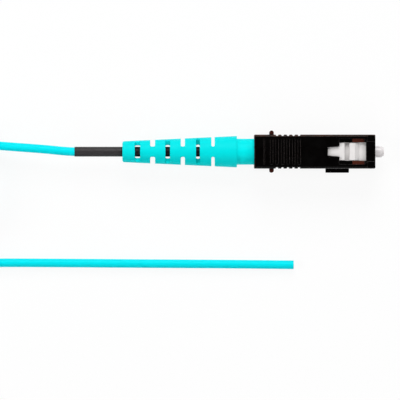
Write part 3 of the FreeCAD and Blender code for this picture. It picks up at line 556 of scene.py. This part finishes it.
def round_curve(name, route, diameter, material):
    """One smooth open curve along the route, as a round rod of this diameter."""
    curve = bpy.data.curves.new(name, "CURVE")
    curve.dimensions = "3D"
    curve.bevel_depth = diameter / 2
    curve.bevel_resolution = ROD_ROUND_STEPS
    curve.resolution_u = ROD_LENGTH_STEPS
    curve.use_fill_caps = True
    spline = curve.splines.new("NURBS")
    spline.points.add(len(route) - 1)
    for control, place in zip(spline.points, route):
        control.co = (*place, 1.0)
    spline.order_u = SPLINE_ORDER
    spline.use_endpoint_u = True
    curve.materials.append(material)
    rod = bpy.data.objects.new(name, curve)
    bpy.context.collection.objects.link(rod)
    return rod


def make_cut_end(end, direction, finishes):
    """Low discs on the cable's cut face, one inside the other."""
    discs = []
    for name, (radius, stand_out, node, slot) in CUT_LAYERS.items():
        mesh = bpy.data.meshes.new(name)
        form = bmesh.new()
        bmesh.ops.create_cone(
            form,
            cap_ends=True,
            segments=CUT_SEGMENTS,
            radius1=radius,
            radius2=radius,
            depth=2 * stand_out,
        )
        form.to_mesh(mesh)
        form.free()
        mesh.materials.append(finishes[node])
        disc = bpy.data.objects.new(name, mesh)
        disc.location = end
        disc.rotation_euler = direction.to_track_quat("Z", "Y").to_euler()
        bpy.context.collection.objects.link(disc)
        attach(disc, "plug")
        discs.append(disc)
    return discs


def make_cable(finishes):
    """The free cable with what its cut end shows."""
    route = cable_route()
    cable = round_curve("cable", route, CABLE, finishes["cable_root"])
    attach(cable, "plug")
    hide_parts("cable_lead", "cable_coil", "cable_tail")
    make_cut_end(route[-1], route[-1] - route[-2], finishes)


# The ferrule's spring

# The wire's turns and diameter, and the bearing between its control points.
SPRING_TURNS = 5.5
SPRING_WIRE = 0.4 * MM
SPRING_STEP = 20


def make_spring(steel):
    """Round wire coiled in the spring's place, from its front end to its back."""
    low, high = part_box("spring")
    front = high.x - SPRING_WIRE / 2
    advance = (high.x - low.x - SPRING_WIRE) / (SPRING_TURNS * FULL_TURN)
    radius = (high.y - low.y - SPRING_WIRE) / 2
    reach = radius / math.cos(math.radians(SPRING_STEP / 2))
    route = []
    for bearing in range(0, int(SPRING_TURNS * FULL_TURN) + 1, SPRING_STEP):
        angle = math.radians(bearing)
        across = reach * math.cos(angle)
        up = AXIS_HEIGHT - reach * math.sin(angle)
        route.append(Vector((front - advance * bearing, across, up)))
    rod = round_curve("spring_rod", route, SPRING_WIRE, steel)
    shape = bpy.data.meshes.new_from_object(rod.evaluated_get(bpy.context.evaluated_depsgraph_get()))
    bpy.data.objects.remove(rod)
    spring = bpy.data.objects.new("spring_wire", shape)
    bpy.context.collection.objects.link(spring)
    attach(spring, "plug")
    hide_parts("spring")
    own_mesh(spring)


# Stage, light and camera

# The floor lies just under what rests on it. To the eye, this share of it glows and the rest is matt.
FLOOR_HALF = 3.0
FLOOR_DROP = 0.01 * MM
FLOOR_GLOW = 0.90
WHITE = (1.0, 1.0, 1.0, 1.0)

# The tent's light goes from the first strength to the second between these heights of a direction, where
# 0 is level and 1 is straight up.
TENT_HEIGHTS = (0.1, 0.8)
TENT_LIGHT = (1.0, 0.04)

# The lamps are squares of one size at one height, in metres. Each has its place on the floor's plan and
# its power in watts.
LAMP_SIZE = 0.34
LAMP_HEIGHT = 0.40
LAMPS = {
    "key": ((0.0, 0.44), 2.5),
    "left": ((-0.46, -0.05), 1.4),
    "right": ((0.46, -0.05), 0.9),
    "near": ((0.0, -0.46), 0.8),
}

# The photograph: its side in pixels, pixels per metre at the plug's axis, and where the origin shows.
PHOTO_PIXELS = 400
PIXELS_PER_METRE = 4575
ORIGIN_PIXEL = (229.2, 151.7)
# The lens and the sensor in millimetres, and how far the camera sees, in metres.
CAMERA_LENS = 500
CAMERA_SENSOR = 36
CAMERA_CLIP_END = 10


def floor_white():
    """Matt white that glows for the eye and for reflections."""
    material = bpy.data.materials.new("floor_white")
    # The glow lights no other surface, so the floor isn't sampled as a lamp.
    material.cycles.emission_sampling = "NONE"
    material.use_nodes = True
    tree = material.node_tree
    tree.nodes.clear()
    matt = tree.nodes.new("ShaderNodeBsdfDiffuse")
    matt.inputs["Color"].default_value = WHITE
    glow = tree.nodes.new("ShaderNodeEmission")
    glow.inputs["Strength"].default_value = 1.0
    path = tree.nodes.new("ShaderNodeLightPath")
    seen = path.outputs["Is Camera Ray"]
    for ray in ("Is Glossy Ray", "Is Transmission Ray"):
        seen = maths(tree, "MAXIMUM", seen, path.outputs[ray])
    mix = tree.nodes.new("ShaderNodeMixShader")
    tree.links.new(maths(tree, "MULTIPLY", seen, FLOOR_GLOW), mix.inputs["Fac"])
    tree.links.new(matt.outputs["BSDF"], mix.inputs[1])
    tree.links.new(glow.outputs["Emission"], mix.inputs[2])
    output = tree.nodes.new("ShaderNodeOutputMaterial")
    tree.links.new(mix.outputs["Shader"], output.inputs["Surface"])
    return material


def make_floor():
    """A wide white floor that takes the object's shadow."""
    mesh = bpy.data.meshes.new("floor")
    corners = [(x * FLOOR_HALF, y * FLOOR_HALF, 0) for x, y in ((-1, -1), (1, -1), (1, 1), (-1, 1))]
    mesh.from_pydata(corners, [], [(0, 1, 2, 3)])
    mesh.materials.append(floor_white())
    floor = bpy.data.objects.new("floor", mesh)
    floor.location.z = -FLOOR_DROP
    bpy.context.collection.objects.link(floor)


def make_world():
    """A light tent: bright walls low down and a dim top, where the camera stands."""
    world = bpy.data.worlds.new("tent")
    bpy.context.scene.world = world
    world.use_nodes = True
    tree = world.node_tree
    height = component(tree, "Generated", "Z")
    light = spread(tree, height, *TENT_HEIGHTS, *TENT_LIGHT)
    tree.links.new(light, tree.nodes["Background"].inputs["Strength"])


def make_lights():
    """A ring of soft lamps turned to the origin, brightest beyond the plug, with none overhead."""
    for name, (plan, power) in LAMPS.items():
        place = Vector((*plan, LAMP_HEIGHT))
        lamp = bpy.data.lights.new(name, "AREA")
        lamp.shape = "SQUARE"
        lamp.size = LAMP_SIZE
        lamp.energy = power
        body = bpy.data.objects.new(name, lamp)
        body.location = place
        body.rotation_euler = (Vector() - place).to_track_quat("-Z", "Y").to_euler()
        bpy.context.collection.objects.link(body)


def make_camera():
    """Straight above the object, framed as the photograph is."""
    camera = bpy.data.cameras.new("camera")
    camera.lens = CAMERA_LENS
    camera.sensor_width = CAMERA_SENSOR
    camera.clip_end = CAMERA_CLIP_END
    middle = PHOTO_PIXELS / 2
    distance = PHOTO_PIXELS / PIXELS_PER_METRE * CAMERA_LENS / CAMERA_SENSOR
    body = bpy.data.objects.new("camera", camera)
    body.location = (
        (middle - ORIGIN_PIXEL[0]) / PIXELS_PER_METRE,
        (ORIGIN_PIXEL[1] - middle) / PIXELS_PER_METRE,
        AXIS_HEIGHT + distance,
    )
    bpy.context.collection.objects.link(body)
    bpy.context.scene.camera = body


make_camera()
make_world()
make_lights()
make_floor()
finishes = dress_nodes()
make_cable(finishes)
make_spring(finishes["spring"])
bpy.context.scene.view_settings.view_transform = "Standard"
